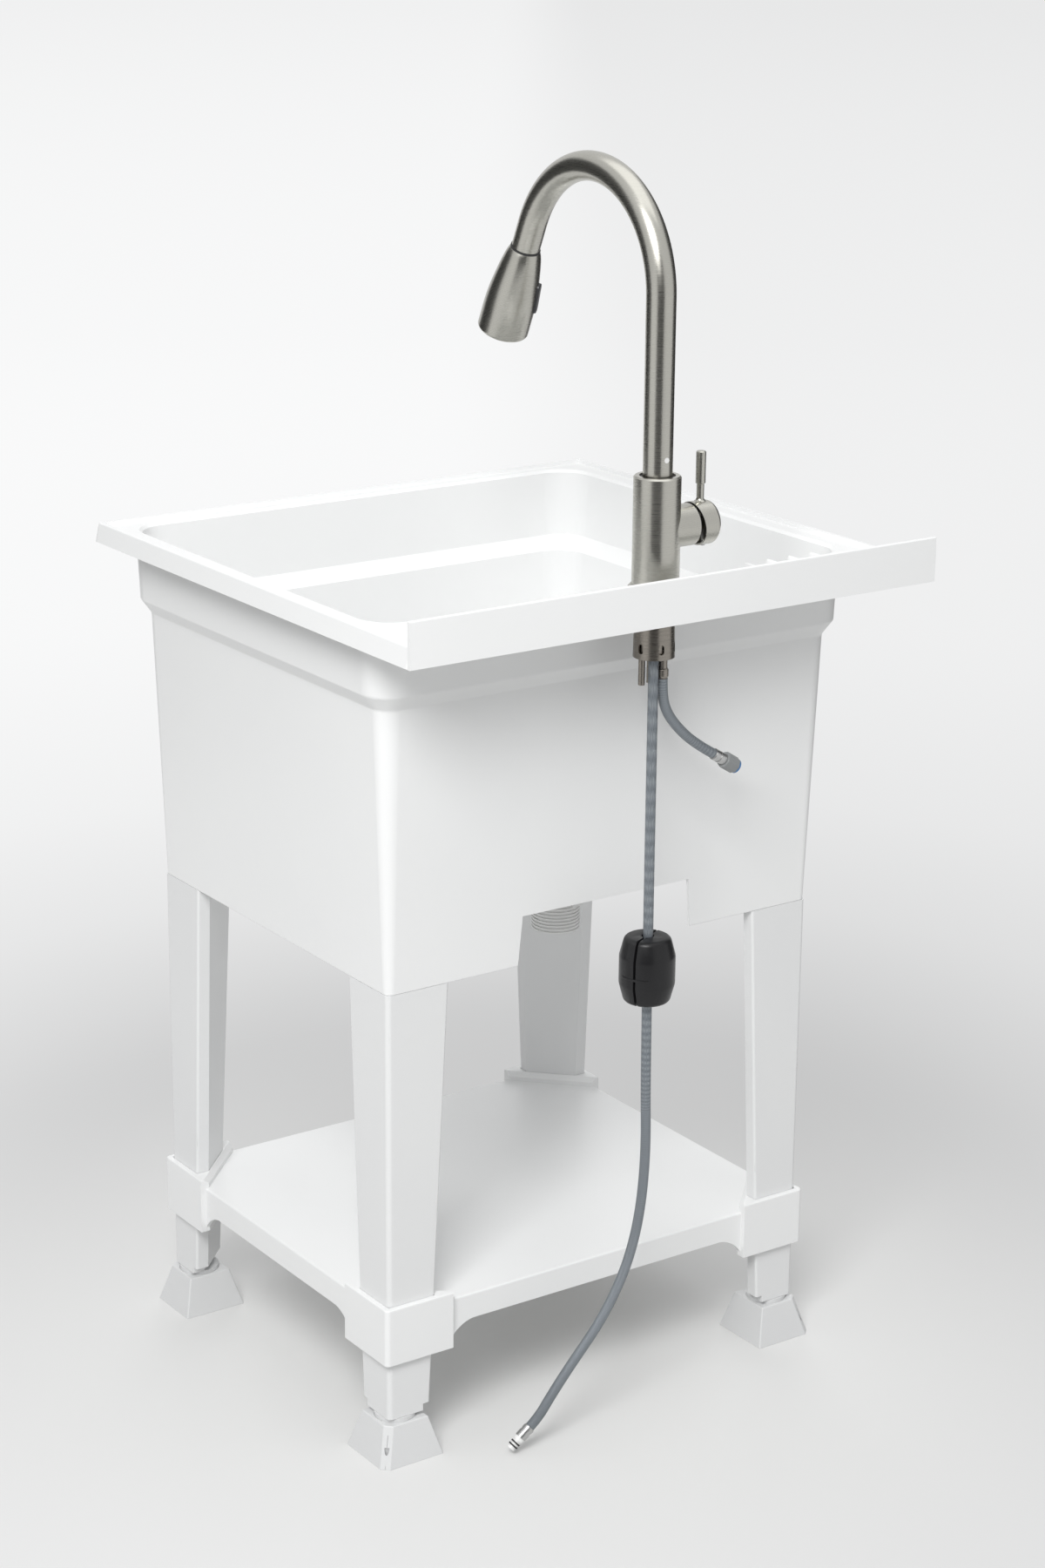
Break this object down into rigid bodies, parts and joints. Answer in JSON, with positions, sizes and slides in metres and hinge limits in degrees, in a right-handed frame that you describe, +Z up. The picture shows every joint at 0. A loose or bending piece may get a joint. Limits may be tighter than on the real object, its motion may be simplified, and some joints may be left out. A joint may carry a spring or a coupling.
{
  "type": "utility laundry sink",
  "caption": "Free-standing plastic utility sink on corner legs with a lower shelf and a deck-mounted gooseneck mixer tap with a pull-out spray and hanging weighted hose.",
  "frame": {"origin": "on the floor under the middle of the rim's rectangular footprint", "axes": "+Z up, +Y to the back where the splash and the tap stand, -Y to the front, the tap handle is on the -X side"},
  "size_m": [0.61, 0.597, 1.2644],
  "materials": {
    "white_plastic": "satin moulded polypropylene, white",
    "grey_plastic": "moulded grey plastic",
    "black_plastic": "moulded black plastic",
    "blue_plastic": "moulded blue plastic",
    "black_rubber": "black rubber",
    "brushed_nickel": "brushed stainless",
    "dark_nickel": "darker brushed nickel",
    "steel": "plain steel",
    "grey_braid": "fine blue-grey nylon braid over a hose",
    "weight_black": "black plastic shell over a metal core"
  },
  "bodies": {
    "base": {"tub": "white_plastic", "drain_body": "white_plastic", "drain_gasket": "black_rubber", "drain_locknut": "white_plastic", "drain_strainer": "steel", "shelf": "white_plastic", "faucet_body": "brushed_nickel", "base_flange": "brushed_nickel", "base_gasket": "black_rubber", "deck_washer": "black_rubber", "clamp_washer": "steel", "mounting_nut": "dark_nickel", "mounting_shank": "dark_nickel", "cold_inlet_tail": "dark_nickel", "hot_inlet_tail": "dark_nickel", "hose_guide": "black_plastic", "swivel_bush": "black_plastic", "thrust_washer": "black_plastic", "valve_cartridge": "black_plastic", "bonnet_ring": "black_plastic", "outlet_fitting": "dark_nickel", "outlet_hose": "grey_braid", "outlet_ferrule": "steel", "quick_connector": "grey_plastic", "leg_rear_right": "white_plastic", "leg_rear_left": "white_plastic", "leg_front_right": "white_plastic", "leg_front_left": "white_plastic"},
    "drain_stopper": {"drain_stopper": "black_rubber"},
    "spout": {"spout_tube": "brushed_nickel", "spout_plug": "white_plastic", "dock_bush": "black_plastic"},
    "spray_head": {"spray_shell": "brushed_nickel", "spray_collar": "black_rubber", "spray_core": "black_plastic", "spray_nozzle": "black_rubber", "spray_hose": "grey_braid"},
    "spray_button": {"spray_button": "black_plastic"},
    "handle_carrier": {"cartridge_carrier": "black_plastic"},
    "handle": {"cartridge_stem": "steel", "handle_cap": "brushed_nickel", "handle_lever": "brushed_nickel", "handle_set_screw": "steel"},
    "hanging_hose": {"main_hose": "grey_braid", "hose_ferrule": "steel", "hose_nipple": "white_plastic", "hose_orings": "black_rubber", "weight_half_a": "weight_black", "weight_half_b": "weight_black", "weight_screws": "steel"},
    "release_ring": {"quick_release_ring": "blue_plastic"},
    "foot_rear_right": {"foot_rear_right": "white_plastic"},
    "leveller_rear_right": {"leveller_rear_right": "white_plastic"},
    "foot_rear_left": {"foot_rear_left": "white_plastic"},
    "leveller_rear_left": {"leveller_rear_left": "white_plastic"},
    "foot_front_right": {"foot_front_right": "white_plastic"},
    "leveller_front_right": {"leveller_front_right": "white_plastic"},
    "foot_front_left": {"foot_front_left": "white_plastic"},
    "leveller_front_left": {"leveller_front_left": "white_plastic"}
  },
  "joints": [
    {"name": "spout_swivel", "type": "hinge", "parent": "base", "child": "spout", "pos_m": [0, 0.249, 0.978], "axis": [0, 0, 1], "continuous": true},
    {"name": "spray_pull", "type": "slide", "parent": "spout", "child": "spray_head", "axis": [0, -0.4147, -0.91], "range_m": [0, 0.185], "deforming": ["spray_hose"]},
    {"name": "hose_rise", "type": "slide", "parent": "base", "child": "hanging_hose", "axis": [0, 0, 1], "range_m": [0, 0.185]},
    {"name": "button_rock", "type": "hinge", "parent": "spray_head", "child": "spray_button", "pos_m": [-0.01318, 0.02347, 1.11211], "axis": [0.7193, 0.6321, -0.2881], "range_deg": [-4, 4]},
    {"name": "handle_turn", "type": "hinge", "parent": "base", "child": "handle_carrier", "pos_m": [-0.0315, 0.249, 0.927], "axis": [1, 0, 0], "range_deg": [-50, 50]},
    {"name": "handle_tilt", "type": "hinge", "parent": "handle_carrier", "child": "handle", "pos_m": [-0.033, 0.249, 0.923], "axis": [0, -1, 0], "range_deg": [0, 22]},
    {"name": "stopper_lift", "type": "slide", "parent": "base", "child": "drain_stopper", "axis": [0, 0, 1], "range_m": [0, 0.04]},
    {"name": "release_ring_push", "type": "slide", "parent": "base", "child": "release_ring", "axis": [0.851, 0, 0.5251], "range_m": [0, 0.0015], "stiffness_N_per_m": 400},
    {"name": "foot_rear_right_extend", "type": "slide", "parent": "base", "child": "foot_rear_right", "axis": [0, 0, -1], "range_m": [0, 0.02]},
    {"name": "leveller_rear_right_turn", "type": "hinge", "parent": "foot_rear_right", "child": "leveller_rear_right", "pos_m": [0.236, 0.161, 0.04], "axis": [0, 0, 1], "range_deg": [-2401, 0]},
    {"name": "foot_rear_left_extend", "type": "slide", "parent": "base", "child": "foot_rear_left", "axis": [0, 0, -1], "range_m": [0, 0.02]},
    {"name": "leveller_rear_left_turn", "type": "hinge", "parent": "foot_rear_left", "child": "leveller_rear_left", "pos_m": [-0.236, 0.161, 0.04], "axis": [0, 0, 1], "range_deg": [-2401, 0]},
    {"name": "foot_front_right_extend", "type": "slide", "parent": "base", "child": "foot_front_right", "axis": [0, 0, -1], "range_m": [0, 0.02]},
    {"name": "leveller_front_right_turn", "type": "hinge", "parent": "foot_front_right", "child": "leveller_front_right", "pos_m": [0.236, -0.2365, 0.04], "axis": [0, 0, 1], "range_deg": [-2401, 0]},
    {"name": "foot_front_left_extend", "type": "slide", "parent": "base", "child": "foot_front_left", "axis": [0, 0, -1], "range_m": [0, 0.02]},
    {"name": "leveller_front_left_turn", "type": "hinge", "parent": "foot_front_left", "child": "leveller_front_left", "pos_m": [-0.236, -0.2365, 0.04], "axis": [0, 0, 1], "range_deg": [-2401, 0]}
  ],
  "couplings": [
    {"joint": "hose_rise", "follows": "spray_pull", "ratio": 1},
    {"joint": "leveller_rear_right_turn", "follows": "foot_rear_right_extend", "rad_per_m": -2094.4},
    {"joint": "leveller_rear_left_turn", "follows": "foot_rear_left_extend", "rad_per_m": -2094.4},
    {"joint": "leveller_front_right_turn", "follows": "foot_front_right_extend", "rad_per_m": -2094.4},
    {"joint": "leveller_front_left_turn", "follows": "foot_front_left_extend", "rad_per_m": -2094.4}
  ]
}
